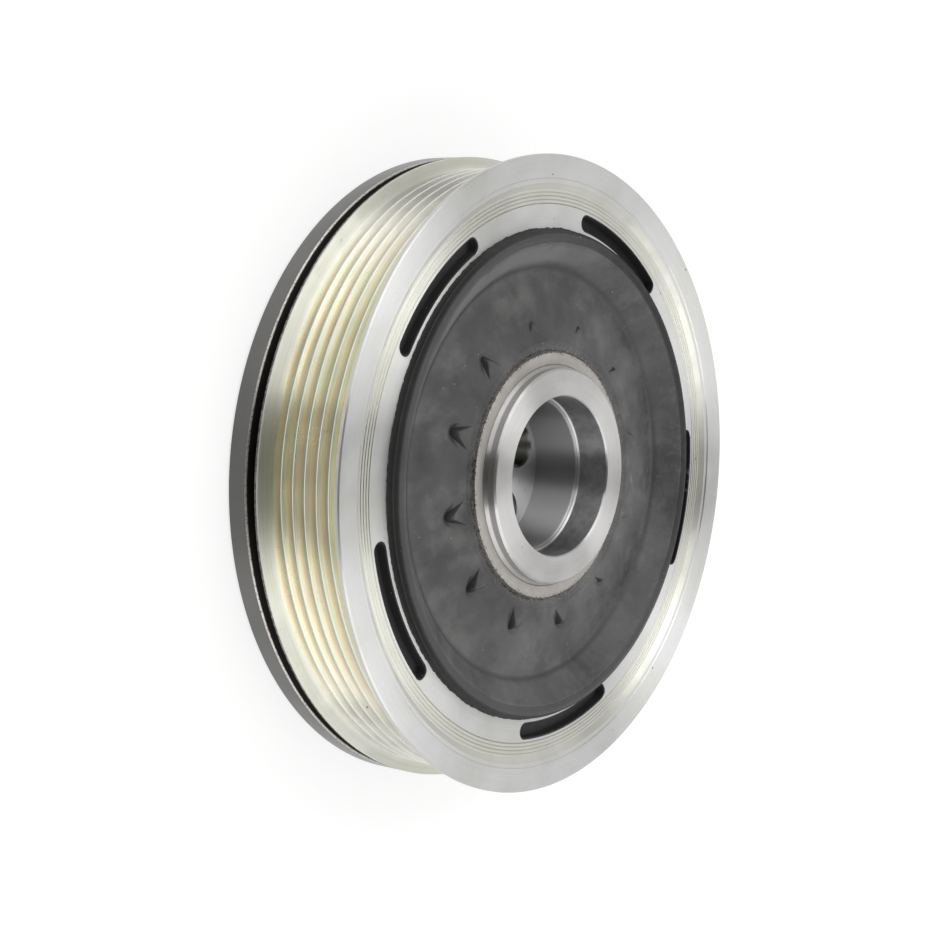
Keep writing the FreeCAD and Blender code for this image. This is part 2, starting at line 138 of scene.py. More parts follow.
WEDGE_RELIEF = (0.6, 0.35, 0.35, 0.85, 1.0, 1.0, 1.0, 1.0, 1.0, 0.8, 0.6, 0.6)
LUG_WALL = 0.4 * MM
LUG_RECESS = 0.1 * MM
LUG_FLOOR = 0.4 * MM
LUG_GAP = 0.01 * MM

# Hub
BOSS_RADIUS = 26.5 * MM
BOSS_FOOT = 0.62 * MM
MOUTH_RADIUS = 19.6 * MM
CUP_RADIUS = 18.5 * MM
FLOOR = 8.6 * MM
LEDGE_TOP = hub_high.z - 8.4 * MM
PILOT_RADIUS = 20.0 * MM
COLLAR_RADIUS = 27.5 * MM
RIM_INNER = 47.3 * MM
SHOULDER_RADIUS = 28.9 * MM
BOLTS = 4
BOLT_CIRCLE = 12.0 * MM
BOLT_HOLE = 4.5 * MM
BOLT_BEVEL = 1.0 * MM
BOLT_EDGE = 0.4 * MM

# Inertia ring
BARREL_RADIUS = 67.4 * MM
RING_FRONT = ring_low.z + 6.0 * MM
RING_EDGE = 0.25 * MM
BALANCE_RADIUS = 66.0 * MM
BALANCE_HOLE = 4.5 * MM
BALANCE_DEPTH = 2.6 * MM
BALANCE_TURNS = (math.radians(112), math.radians(125))

# Looks
LATHE_SLANT = 0.83  # how far height shifts the turning lines, so that upright faces show them too
ACROSS_THE_TURN = 0.25  # as a share of a whole turn
SPECK_FADE = 1.4  # where a speck ends, against where it starts to fade

# The photograph's camera, fitted to the rim, the hub and the ribs: where it stands, its view and its lens
CAMERA_PLACE = Vector((-318.2, 209.1, 302.5)) * MM
CAMERA_FORWARD = Vector((0.65541, -0.43325, -0.61866))
CAMERA_UP = Vector((0.49854, 0.86349, -0.07656))
CAMERA_LENS = 72.77
CAMERA_SENSOR = 36.0

# Lamps: azimuth from the photo's right and rise, in degrees, then size in metres and power in watts
LAMPS = (
    ("upper_soft", 98, 54, (0.85, 1.1), 4.2),
    ("lower_soft", 248, 46, (1.2, 1.05), 4.2),
    ("upper_far_soft", 39, 62, (0.7, 0.4), 1.0),
    ("lower_far_soft", -44, 60, (0.6, 0.8), 1.6),
)
LAMP_DISTANCE = 1.3
LAMP_TARGET = Vector((0.0, 0.0, 10 * MM))

# Dark cards: grey level, then lower and upper edge, each as two directions in the photo's axes
CARDS = (
    ("camera_side_card", 0.22,
     ((-0.86, 0.30, 0.05), (-0.86, -0.50, 0.05)), ((-0.06, 0.10, 1.0), (-0.06, -0.22, 1.0))),
    ("far_card", 0.05,
     ((0.65, 0.52, 0.50), (0.35, 0.72, 0.50)), ((0.58, 0.44, 0.68), (0.34, 0.60, 0.68))),
)
CARD_DISTANCE = 1.9
CARD_CELLS = 16

# Floor and world
WHITE = (1.0, 1.0, 1.0, 1.0)
WORLD_LIGHT = 0.55
FLOOR_HALF = 6.0
FLOOR_TONE = (0.36, 0.36, 0.36, 1.0)
FLOOR_GLOW = 0.74


def tone(red, green, blue):
    """A screen colour, 0 to 255, as the linear colour that a shader takes."""
    def straight(level):
        share = level / 255
        return share / 12.92 if share <= 0.04045 else ((share + 0.055) / 1.055) ** 2.4
    return (straight(red), straight(green), straight(blue), 1.0)


# Plated steel: the face, the film from groove root to rib tip, the silver painted on the belt as a highlight,
# the land and the tail edge
FACE_PALE = tone(207, 207, 207)
FACE_WARM = tone(200, 200, 196)
FACE_RINGS = tone(206, 205, 192)
FILM_ROOT = tone(212, 222, 206)
FILM_PINK = tone(248, 224, 202)
FILM_KHAKI = tone(248, 245, 204)
FILM_TIP = tone(242, 242, 216)
HUE_GREEN = tone(206, 222, 180)
HUE_PINK = tone(236, 208, 184)
HIGHLIGHT_SILVER_LIGHT = tone(222, 222, 214)
HIGHLIGHT_SILVER_DARK = tone(210, 210, 206)
TIP_WORN = tone(236, 234, 224)
LAND_LIGHT = tone(234, 235, 226)
LAND_WARM = tone(222, 223, 208)
TAIL_DARK = tone(80, 79, 72)
TAIL_LIGHT = tone(140, 138, 130)
PLATE_MARK = tone(76, 72, 64)
PLATE_LINE = tone(170, 170, 164)
PLATE_GRAIN = tone(150, 150, 144)

# The hub's steel and the sleeve's
STEEL_LIGHT = tone(195, 194, 193)
STEEL_DARK = tone(184, 183, 181)
STEEL_LINE = tone(148, 147, 146)
CUP_DULL = tone(178, 178, 180)
CUP_SHADE = tone(112, 112, 114)
MOUTH_SMUDGE = tone(132, 134, 137)
HOLE_BROWN = tone(116, 116, 104)
STEEL_SPECK = tone(96, 92, 88)
SLEEVE_LIGHT = tone(173, 170, 165)
SLEEVE_DARK = tone(159, 155, 151)
SLEEVE_LINE = tone(184, 181, 178)
SLEEVE_CRUMB = tone(92, 88, 84)

# Moulded rubber
RUBBER_DARK = tone(50, 50, 50)
RUBBER_LIGHT = tone(84, 84, 84)
RUBBER_BLOOM = tone(104, 103, 102)
RUBBER_WALL_SHADE = tone(30, 30, 30)
RUBBER_RUBBED = tone(128, 128, 127)
RUBBER_DARK_SMEAR_AND_SHADE = tone(24, 24, 24)
RUBBER_SMEAR = tone(122, 121, 119)
RUBBER_TROUGH_SHADE = tone(22, 22, 22)
RUBBER_CROWN = tone(34, 34, 34)
RUBBER_FLANK_SHADE = tone(26, 26, 26)
RUBBER_SCRATCH = tone(140, 139, 137)
RUBBER_DUST = tone(160, 158, 154)
RUBBER_CRUMB = tone(138, 133, 128)

# Coated iron, track rubber and bearing polymer
IRON_DARK = tone(100, 100, 98)
IRON_LIGHT = tone(110, 109, 107)
IRON_GRIT = tone(136, 134, 130)
IRON_DARK_FACE_AND_SHADE = tone(38, 33, 28)
IRON_WORN_AND_HIGHLIGHT = tone(206, 202, 196)
TRACK_DARK = tone(34, 34, 34)
TRACK_LIGHT = tone(56, 55, 54)
POLYMER_DARK = tone(72, 58, 42)
POLYMER_LIGHT = tone(96, 80, 60)


def polar(radius, angle, height):
    """The point at a radius and a height, at an angle about Z."""
    return Vector((radius * math.cos(angle), radius * math.sin(angle), height))


def rounded(corners, steps=4):
    """A section's points, each corner (radius, height, rounding) given a soft turn of that size."""
    points = []
    for index, (radius, height, rounding) in enumerate(corners):
        here = Vector((radius, height))
        if rounding == 0:
            points.append(here)
            continue
        before = Vector(corners[index - 1][:2]) - here
        after = Vector(corners[(index + 1) % len(corners)][:2]) - here
        reach = min(rounding / math.tan(before.angle(after) / 2), 0.48 * before.length, 0.48 * after.length)
        start = here + before.normalized() * reach
        stop = here + after.normalized() * reach
        for step in range(steps + 1):
            share = step / steps
            points.append(start.lerp(here, share).lerp(here.lerp(stop, share), share))
    return points


def add_object(name, data):
    """A new object that holds some data, put in the scene."""
    made = bpy.data.objects.new(name, data)
    bpy.context.scene.collection.objects.link(made)
    return made


def new_piece(name, bm, replaced=None):
    """An object from a bmesh, smooth shaded apart from its sharp edges, riding with the part."""
    bmesh.ops.recalc_face_normals(bm, faces=bm.faces)
    mesh = bpy.data.meshes.new(name)
    bm.to_mesh(mesh)
    bm.free()
    piece = add_object(name, mesh)
    smooth(piece)
    if replaced:
        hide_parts(replaced)
    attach(piece, ROOT_BODY)
    return piece


def smooth(piece):
    """Smooth shading, with the edges past SHARP_ANGLE kept sharp."""
    mesh = piece.data
    mesh.polygons.foreach_set("use_smooth", [True] * len(mesh.polygons))
    mesh.set_sharp_from_angle(angle=SHARP_ANGLE)
    mesh.update()


def turned(section, count, shift=None):
    """A bmesh of a closed section turned about Z.

    shift(radius, angle, height), where it is given, returns each point's new radius and height.
    """
    bm = bmesh.new()
    rings = []
    for radius, height in section:
        if radius == 0:
            rings.append([bm.verts.new((0, 0, height))])
            continue
        ring = []
        for step in range(count):
            angle = 2 * math.pi * step / count
            place = (radius, height)
            if shift:
                place = shift(radius, angle, height)
            ring.append(bm.verts.new(polar(place[0], angle, place[1])))
        rings.append(ring)
    for here, after in zip(rings, rings[1:] + rings[:1]):
        for step in range(count):
            following = (step + 1) % count
            if len(here) == 1 and len(after) == 1:
                break
            if len(here) == 1:
                bm.faces.new((here[0], after[step], after[following]))
            elif len(after) == 1:
                bm.faces.new((here[step], here[following], after[0]))
            else:
                bm.faces.new((here[step], here[following], after[following], after[step]))
    return bm


def prism(bm, rows):
    """Adds a closed solid to bm from loops of points, the first and last of which are capped."""
    loops = [[bm.verts.new(point) for point in row] for row in rows]
    for low, high in zip(loops, loops[1:]):
        for index in range(len(low)):
            following = (index + 1) % len(low)
            bm.faces.new((low[index], low[following], high[following], high[index]))
    bm.faces.new(list(reversed(loops[0])))
    bm.faces.new(loops[-1])


def slot_loop(turn, inner, outer, height, along=40, ends=12):
    """Points round a slot bent about Z, whose ends are half circles."""
    middle = (inner + outer) / 2
    half_width = (outer - inner) / 2
    points = []
    for step in range(along + 1):
        points.append(polar(outer, turn - SLOT_HALF + 2 * SLOT_HALF * step / along, height))
    for side, start in ((1, 0.0), (-1, math.pi)):
        centre = polar(middle, turn + side * SLOT_HALF, height)
        for step in range(1, ends):
            swing = turn + side * SLOT_HALF + start + math.pi * step / ends
            points.append(centre + polar(half_width, swing, 0))
        if side == 1:
            for step in range(along + 1):
                points.append(polar(inner, turn + SLOT_HALF - 2 * SLOT_HALF * step / along, height))
    return points


def round_loop(centre, radius, count, height):
    """Points round a circle."""
    return [Vector((centre.x, centre.y, height)) + polar(radius, 2 * math.pi * step / count, 0)
            for step in range(count)]


def carve(piece, cutter_bm):
    """Cut the cutter's solids out of a piece for good."""
    bmesh.ops.recalc_face_normals(cutter_bm, faces=cutter_bm.faces)
    mesh = bpy.data.meshes.new("cutter")
    cutter_bm.to_mesh(mesh)
    cutter_bm.free()
    cutter = add_object("cutter", mesh)
    cut = piece.modifiers.new("cut", "BOOLEAN")
    cut.operation = "DIFFERENCE"
    cut.solver = "EXACT"
    cut.object = cutter
    bpy.context.view_layer.update()
    carved = bpy.data.meshes.new_from_object(piece.evaluated_get(bpy.context.evaluated_depsgraph_get()))
    piece.modifiers.clear()
    piece.data = carved
    carved.name = piece.name
    bpy.data.objects.remove(cutter)
    smooth(piece)


class Shader:
    """A node material, built up by calls that add its nodes."""

    def __init__(self, name):
        self.material = bpy.data.materials.new(name)
        self.material.use_nodes = True
        self.tree = self.material.node_tree
        self.surface = self.tree.nodes["Principled BSDF"]
        place = self.node("ShaderNodeTexCoord").outputs["Object"]
        self.place = place
        apart = self.node("ShaderNodeSeparateXYZ", Vector=place)
        self.x, self.y, self.z = apart.outputs
        flat = self.join(self.x, self.y, 0.0)
        self.radius = self.vector_math("LENGTH", flat).outputs["Value"]
        self.facing = self.vector_math("NORMALIZE", flat).outputs["Vector"]

    def node(self, kind, **inputs):
        made = self.tree.nodes.new(kind)
        for name, value in inputs.items():
            self.feed(made.inputs[name.replace("_", " ")], value)
        return made

    def feed(self, socket, value):
        if isinstance(value, bpy.types.NodeSocket):
            self.tree.links.new(value, socket)
        else:
            socket.default_value = value

    def join(self, x, y, z):
        return self.node("ShaderNodeCombineXYZ", X=x, Y=y, Z=z).outputs["Vector"]

    def vector_math(self, operation, first, second=None):
        made = self.node("ShaderNodeVectorMath")
        made.operation = operation
        self.feed(made.inputs[0], first)
        if second is not None:
            self.feed(made.inputs[1], second)
        return made

    def math(self, operation, first, second=0.0):
        made = self.node("ShaderNodeMath")
        made.operation = operation
        self.feed(made.inputs[0], first)
        self.feed(made.inputs[1], second)
        return made.outputs["Value"]

    def times(self, *values):
        product = values[0]
        for value in values[1:]:
            product = self.math("MULTIPLY", product, value)
        return product

    def plus(self, *values):
        total = values[0]
        for value in values[1:]:
            total = self.math("ADD", total, value)
        return total

    def span(self, value, low, high, to_low=0.0, to_high=1.0):
        """to_low below low, to_high above high, and a soft step between."""
        made = self.node("ShaderNodeMapRange", Value=value, From_Min=low, From_Max=high,
                         To_Min=to_low, To_Max=to_high)
        made.interpolation_type = "SMOOTHSTEP"
        return made.outputs["Result"]

    def below(self, value, low, high):
        """1 below low, 0 above high, and a soft step between."""
        return self.span(value, low, high, 1.0, 0.0)

    def band(self, value, low, high, fade):
        """1 between low and high, and 0 outside them."""
        return self.times(self.span(value, low - fade, low + fade),
                          self.below(value, high - fade, high + fade))

    def noise(self, place, scale, detail=3.0, roughness=0.55):
        made = self.node("ShaderNodeTexNoise", Vector=place, Scale=scale, Detail=detail,
                         Roughness=roughness)
        return made.outputs["Fac"]

    def specks(self, place, scale, size):
        """1 in small round spots, one in each cell, and 0 elsewhere."""
        made = self.node("ShaderNodeTexVoronoi", Vector=place, Scale=scale)
        return self.below(made.outputs["Distance"], size, size * SPECK_FADE)

    def mix(self, share, low, high):
        """The colour low where share is 0 and high where it is 1. Sockets 6, 7 and 2 are the colour ones."""
        made = self.node("ShaderNodeMix")
        made.data_type = "RGBA"
        self.feed(made.inputs["Factor"], share)
        self.feed(made.inputs[6], low)
        self.feed(made.inputs[7], high)
        return made.outputs[2]

    def lathe_lines(self, across, along, detail=4.0):
        """Noise drawn out round the axis, as a turning tool leaves it: fine across, slow along."""
        swept = self.vector_math("SCALE", self.facing)
        swept.inputs["Scale"].default_value = along
        apart = self.node("ShaderNodeSeparateXYZ", Vector=swept.outputs["Vector"])
        depth = self.times(self.plus(self.radius, self.times(self.z, LATHE_SLANT)), across)
        return self.noise(self.join(apart.outputs["X"], apart.outputs["Y"], depth), 1.0, detail, 0.6)

    def near_angle(self, angle, inner, outer):
        """1 within inner of an angle about the axis, and 0 beyond outer, all in degrees."""
        towards = polar(1.0, math.radians(angle), 0.0)
        share = self.vector_math("DOT_PRODUCT", self.facing, towards).outputs["Value"]
        return self.span(share, math.cos(math.radians(outer)), math.cos(math.radians(inner)))

    def bump(self, height, depth):
        return self.node("ShaderNodeBump", Height=height, Distance=depth, Strength=1.0).outputs["Normal"]

    def turned_gloss(self, strength):
        """Gloss drawn out across the turning lines, which gives a turned face its light and dark fans."""
        made = self.node("ShaderNodeTangent")
        made.direction_type = "RADIAL"
        made.axis = "Z"
        self.feed(self.surface.inputs["Tangent"], made.outputs["Tangent"])
        self.feed(self.surface.inputs["Anisotropic"], strength)
        self.feed(self.surface.inputs["Anisotropic Rotation"], ACROSS_THE_TURN)

    def finish(self, colour, roughness, normal, **numbers):
        self.feed(self.surface.inputs["Base Color"], colour)
        self.feed(self.surface.inputs["Roughness"], roughness)
        self.feed(self.surface.inputs["Normal"], normal)
        for name, value in numbers.items():
            self.feed(self.surface.inputs[name.replace("_", " ")], value)
        return self.material


def plated_steel():
    """Turned steel with a pale yellow film: silvery face, worn rib tips, satin land, hammered tail edge."""
    shader = Shader("plated_steel")
    lines = shader.lathe_lines(5200, 2.0)
    cloud = shader.noise(shader.place, 46, 4.0)
    patch = shader.noise(shader.place, 130, 5.0)
    grit = shader.noise(shader.place, 1300, 3.0, 0.6)
    outside = shader.span(shader.radius, BORE_RADIUS, ROOT_RADIUS)

    face = shader.mix(shader.span(cloud, 0.35, 0.7), FACE_PALE, FACE_WARM)
    ring_zone = shader.band(shader.radius, RING_CUTS[0][0] - 0.3 * MM, FACE_STEP + 0.1 * MM, 0.4 * MM)
    face = shader.mix(shader.times(ring_zone, 0.6), face, FACE_RINGS)

    # The film changes colour from the grooves' roots to the ribs' tips
    drift = shader.plus(shader.span(shader.radius, ROOT_RADIUS, TIP_RADIUS),
                        shader.span(cloud, 0.3, 0.7, -0.11, 0.11),
                        shader.span(patch, 0.3, 0.7, -0.05, 0.05))
    film = shader.mix(shader.span(drift, 0.42, 0.56), FILM_ROOT, FILM_PINK)
    film = shader.mix(shader.span(drift, 0.66, 0.82), film, FILM_KHAKI)
    film = shader.mix(shader.span(drift, 0.9, 0.99), film, FILM_TIP)
    hue = shader.lathe_lines(1100, 3.0, 2.0)
    film = shader.mix(shader.span(hue, 0.36, 0.48, 0.4, 0.0), film, HUE_GREEN)
    film = shader.mix(shader.span(hue, 0.52, 0.64, 0.0, 0.35), film, HUE_PINK)

    # Silver on the belt away from the film's side is a painted highlight, standing in for the neutral gleam
    # of the same film.
    highlight_silver = shader.mix(shader.span(patch, 0.35, 0.7), HIGHLIGHT_SILVER_LIGHT, HIGHLIGHT_SILVER_DARK)
    yellow_side = shader.times(shader.near_angle(150, 20, 58), 0.92)
    far_side = shader.times(shader.near_angle(-45, 40, 85), 0.5)
    belt = shader.mix(shader.plus(yellow_side, far_side), highlight_silver, film)
    tips = shader.span(shader.radius, TIP_RADIUS - 0.35 * MM, TIP_RADIUS - 0.08 * MM)
    belt = shader.mix(tips, belt, TIP_WORN)
    on_belt = shader.times(shader.below(shader.z, FLANGE_FRONT - 1.9 * MM, FLANGE_FRONT - 1.0 * MM), outside)
    colour = shader.mix(on_belt, face, belt)

    land = shader.times(shader.below(shader.z, RIM_TAIL + 2.2 * MM, RIM_TAIL + 3.0 * MM), outside)
    satin = shader.mix(shader.span(cloud, 0.3, 0.7), LAND_LIGHT, LAND_WARM)
    colour = shader.mix(shader.times(land, 0.92), colour, satin)
    tail = shader.times(shader.below(shader.z, RIM_TAIL + 1.0 * MM, RIM_TAIL + 1.3 * MM), outside)
    hammered = shader.mix(shader.span(grit, 0.42, 0.6), TAIL_DARK, TAIL_LIGHT)
    colour = shader.mix(tail, colour, hammered)

    marks = shader.times(shader.specks(shader.place, 210, 0.06), shader.span(patch, 0.54, 0.6))
    colour = shader.mix(shader.times(marks, 0.8), colour, PLATE_MARK)
    colour = shader.mix(shader.span(lines, 0.35, 0.75, 0.0, 0.2), colour, PLATE_LINE)
    grain = shader.times(shader.specks(shader.place, 900, 0.12), shader.span(patch, 0.5, 0.6), 0.3)
    colour = shader.mix(grain, colour, PLATE_GRAIN)
    roughness = shader.plus(shader.span(patch, 0.3, 0.75, 0.32, 0.40), shader.times(on_belt, -0.05),
                            shader.times(land, 0.15))
    height = shader.plus(lines, shader.times(land, grit, 0.6), shader.times(tail, grit, 3.0))
    shader.turned_gloss(1.0)
    return shader.finish(colour, roughness, shader.bump(height, 0.012 * MM), Metallic=1.0)


def turned_steel():
    """Fine-turned steel of the hub, duller down in the cup with painted shade on one side of its wall, and
    browner in the bolt holes.
    """
    shader = Shader("turned_steel")
    lines = shader.lathe_lines(6400, 1.5)
    cloud = shader.noise(shader.place, 90, 4.0)
    colour = shader.mix(shader.span(cloud, 0.3, 0.75), STEEL_LIGHT, STEEL_DARK)
    colour = shader.mix(shader.span(lines, 0.35, 0.8, 0.0, 0.35), colour, STEEL_LINE)

    inside = shader.times(shader.below(shader.radius, CUP_RADIUS + 0.1 * MM, CUP_RADIUS + 0.5 * MM),
                          shader.below(shader.z, LEDGE_TOP - 0.8 * MM, LEDGE_TOP - 0.2 * MM))
    colour = shader.mix(shader.times(inside, 0.7), colour, CUP_DULL)
    # Painted shade on one side of the cup wall.
    colour = shader.mix(shader.times(inside, shader.near_angle(20, 25, 65), 0.6), colour, CUP_SHADE)
    mouth = shader.times(shader.below(shader.radius, MOUTH_RADIUS + 0.05 * MM, MOUTH_RADIUS + 0.15 * MM),
                         shader.span(shader.z, LEDGE_TOP, LEDGE_TOP + 0.2 * MM))
    smudge = shader.span(shader.noise(shader.place, 260, 5.0, 0.65), 0.35, 0.65, 0.35, 0.8)
    colour = shader.mix(shader.times(mouth, smudge), colour, MOUTH_SMUDGE)
    hole = shader.times(shader.band(shader.z, 0.3 * MM, FLOOR - 2 * BOLT_EDGE, 0.2 * MM),
                        shader.band(shader.radius, BOLT_CIRCLE - 6 * MM, BOLT_CIRCLE + 5.2 * MM, 0.4 * MM))
    colour = shader.mix(shader.times(hole, 0.8), colour, HOLE_BROWN)
    specks = shader.times(shader.specks(shader.place, 330, 0.06), shader.span(cloud, 0.5, 0.6))
    colour = shader.mix(shader.times(specks, 0.6), colour, STEEL_SPECK)
    roughness = shader.plus(shader.span(cloud, 0.3, 0.75, 0.30, 0.37), shader.times(inside, 0.16))
    shader.turned_gloss(1.0)
    return shader.finish(colour, roughness, shader.bump(lines, 0.010 * MM), Metallic=1.0)


def sleeve_steel():
    """Dull steel, beige grey, with rubber crumbs along its edge."""
    shader = Shader("sleeve_steel")
    lines = shader.lathe_lines(3800, 2.0)
    cloud = shader.noise(shader.place, 160, 5.0, 0.65)
    grit = shader.noise(shader.place, 1500, 4.0, 0.7)
    colour = shader.mix(shader.span(cloud, 0.3, 0.7), SLEEVE_LIGHT, SLEEVE_DARK)
    colour = shader.mix(shader.span(lines, 0.4, 0.75, 0.0, 0.35), colour, SLEEVE_LINE)
    edge = shader.span(shader.radius, SLEEVE_RADIUS - 0.9 * MM, SLEEVE_RADIUS)
    colour = shader.mix(shader.times(edge, shader.span(grit, 0.5, 0.6)), colour, SLEEVE_CRUMB)
    roughness = shader.span(cloud, 0.3, 0.7, 0.42, 0.55)
    shader.turned_gloss(0.6)
    return shader.finish(colour, roughness, shader.bump(grit, 0.012 * MM), Metallic=0.9)


def moulded_rubber():
    """Satin grey rubber: clouded and smeared, with bloom, a rubbed area, dust and scratches, and painted
    shade on the outer wall, over part of the field, in the trough, along the crown's edge on one side and on
    the wedges' flanks.
    """
    shader = Shader("moulded_rubber")
    cloud = shader.noise(shader.place, 48, 6.0, 0.62)
    smear = shader.noise(shader.place, 100, 4.0, 0.6)
    fine = shader.noise(shader.place, 420, 5.0, 0.65)
    grain = shader.noise(shader.place, 2600, 3.0, 0.6)
    colour = shader.mix(shader.span(cloud, 0.3, 0.7), RUBBER_DARK, RUBBER_LIGHT)
    colour = shader.mix(shader.span(fine, 0.45, 0.75, 0.0, 0.4), colour, RUBBER_BLOOM)
    # Painted shade: the outer wall, darkened all round.
    outer_wall = shader.span(shader.radius, CROWN_RADIUS + 0.3 * MM, CROWN_RADIUS + 1.1 * MM)
    colour = shader.mix(shader.times(outer_wall, 0.9), colour, RUBBER_WALL_SHADE)

    # A lighter rubbed area on one side, and painted shade over the field on another, by angle and radius
    slope = shader.band(shader.radius, TROUGH_RADIUS + 1.9 * MM, SLOPE_TOP - 0.15 * MM, 1.0 * MM)
    rubbed = shader.times(shader.near_angle(88, 12, 50), slope)
    colour = shader.mix(shader.times(rubbed, 0.6), colour, RUBBER_RUBBED)
    field_shade = shader.times(shader.near_angle(135, 60, 105),
                         shader.band(shader.radius, SLEEVE_RADIUS, TROUGH_RADIUS - 1.8 * MM, 2.0 * MM))
    field_shade_tone = shader.mix(shader.span(cloud, 0.35, 0.65), RUBBER_DARK_SMEAR_AND_SHADE, RUBBER_DARK)
    colour = shader.mix(shader.times(field_shade, 0.75), colour, field_shade_tone)

    on_disc = shader.below(shader.radius, CROWN_RADIUS - 0.6 * MM, CROWN_RADIUS + 0.2 * MM)
    pale_smear = shader.times(on_disc, shader.span(smear, 0.48, 0.72, 0.0, 0.3))
    colour = shader.mix(pale_smear, colour, RUBBER_SMEAR)
    dark_smear = shader.times(on_disc, shader.span(smear, 0.3, 0.46, 0.4, 0.0))
    colour = shader.mix(dark_smear, colour, RUBBER_DARK_SMEAR_AND_SHADE)
    # Painted shade in the trough.
    trough_shade = shader.band(shader.radius, TROUGH_RADIUS - 0.2 * MM, TROUGH_RADIUS + 1.0 * MM, 0.7 * MM)
    colour = shader.mix(shader.times(trough_shade, 0.75), colour, RUBBER_TROUGH_SHADE)
    rim_top = shader.band(shader.radius, RIM_STEP - 0.05 * MM, CROWN_RADIUS + 0.6 * MM, 0.3 * MM)
    colour = shader.mix(shader.times(rim_top, 0.7), colour, RUBBER_CROWN)
    # Painted shade along the crown's outer edge on one side.
    crown_edge_shade = shader.times(shader.near_angle(0, 30, 70),
                           shader.span(shader.radius, SLOPE_TOP + 0.05 * MM, SLOPE_TOP + 0.85 * MM))
    colour = shader.mix(shader.times(crown_edge_shade, 0.9), colour, RUBBER_DARK_SMEAR_AND_SHADE)

    # Painted shade on the wedges' steep flanks and hollow walls, found by how far the surface tilts.
    normal = shader.node("ShaderNodeNewGeometry").outputs["Normal"]
    upright = shader.node("ShaderNodeSeparateXYZ", Vector=normal).outputs["Z"]
    shaded_flank = shader.times(shader.below(upright, 0.62, 0.88),
                         shader.band(shader.radius, WEDGE_BASE, WEDGE_CENTRE + 3 * MM, 0.3 * MM))
    colour = shader.mix(shader.times(shaded_flank, 0.9), colour, RUBBER_FLANK_SHADE)

    drawn = shader.node("ShaderNodeMapping", Vector=shader.place, Rotation=(0.0, 0.0, 0.5),
                        Scale=(260.0, 16.0, 60.0))
    scratch = shader.span(shader.noise(drawn.outputs["Vector"], 1.0, 2.0, 0.5), 0.70, 0.74)
    scratch = shader.times(scratch, shader.span(cloud, 0.5, 0.6))
    colour = shader.mix(shader.times(scratch, 0.5), colour, RUBBER_SCRATCH)
    dust = shader.times(shader.specks(shader.place, 520, 0.09), shader.span(fine, 0.55, 0.62))
    colour = shader.mix(shader.times(dust, 0.6), colour, RUBBER_DUST)
    near_sleeve = shader.below(shader.radius, SLEEVE_RADIUS + 0.4 * MM, SLEEVE_RADIUS + 3.2 * MM)
    crumbs = shader.times(near_sleeve, shader.span(grain, 0.5, 0.6))
    colour = shader.mix(shader.times(crumbs, 0.6), colour, RUBBER_CRUMB)

    roughness = shader.plus(shader.span(fine, 0.3, 0.7, 0.36, 0.5), shader.times(outer_wall, 0.3),
                            shader.times(crown_edge_shade, 0.3), shader.times(shaded_flank, 0.25))
    height = shader.plus(shader.times(fine, 2.0), shader.times(grain, 0.6))
    return shader.finish(colour, roughness, shader.bump(height, 0.03 * MM))


def coated_iron():
    """Satin dark coating over turned cast iron, with a worn front edge on the band brightened partly as a
    painted highlight, and a brown-black front face towards the pulley that is partly painted shade.
    """
    shader = Shader("coated_iron")
    grit = shader.noise(shader.place, 2200, 4.0, 0.7)
    cloud = shader.noise(shader.place, 55, 4.0)
    lines = shader.lathe_lines(2400, 2.0)
    colour = shader.mix(shader.span(cloud, 0.3, 0.7), IRON_DARK, IRON_LIGHT)
    colour = shader.mix(shader.span(grit, 0.5, 0.75, 0.0, 0.3), colour, IRON_GRIT)
    # The ring's front face, down in the gap behind the pulley, is near black: partly its own dark face and
    # partly painted shade of the gap.
    inside = shader.times(shader.span(shader.z, RING_FRONT - 0.06 * MM, RING_FRONT - 0.02 * MM),
                          shader.below(shader.radius, ring_high.x - 0.4 * MM, ring_high.x - 0.3 * MM))
    colour = shader.mix(shader.times(inside, 0.92), colour, IRON_DARK_FACE_AND_SHADE)
    # The band's front edge is worn bright in broken specks, and its brightness is partly a painted highlight.
    edge = shader.times(shader.span(shader.z, RING_FRONT - RING_EDGE - 0.12 * MM, RING_FRONT - RING_EDGE),
                        shader.span(shader.radius, ring_high.x - 0.5 * MM, ring_high.x - 0.35 * MM))
    worn = shader.times(edge, shader.span(grit, 0.34, 0.52))
    colour = shader.mix(worn, colour, IRON_WORN_AND_HIGHLIGHT)
    roughness = shader.plus(shader.span(grit, 0.35, 0.7, 0.38, 0.48), shader.times(worn, -0.06),
                            shader.times(inside, 0.2))
    height = shader.plus(grit, shader.times(lines, 0.7))
    shader.turned_gloss(0.95)
    return shader.finish(colour, roughness, shader.bump(height, 0.014 * MM), Metallic=0.85,
                         Coat_Weight=0.7, Coat_Roughness=0.3)


def track_rubber():
    """Plain dark rubber of the damper's track."""
    shader = Shader("track_rubber")
    fine = shader.noise(shader.place, 500, 5.0, 0.65)
    colour = shader.mix(fine, TRACK_DARK, TRACK_LIGHT)
    return shader.finish(colour, shader.span(fine, 0.3, 0.7, 0.5, 0.66), shader.bump(fine, 0.04 * MM))


def bearing_polymer():
    """Brown bearing plastic with turning lines."""
    shader = Shader("bearing_polymer")
    lines = shader.lathe_lines(3000, 1.5)
    fine = shader.noise(shader.place, 700, 4.0)
    colour = shader.mix(shader.span(fine, 0.3, 0.7), POLYMER_DARK, POLYMER_LIGHT)
    return shader.finish(colour, shader.span(lines, 0.3, 0.7, 0.34, 0.5), shader.bump(lines, 0.02 * MM))


def give(piece, material):
    """Leaves a piece with this material alone."""
    piece.data.materials.clear()
    piece.data.materials.append(material)


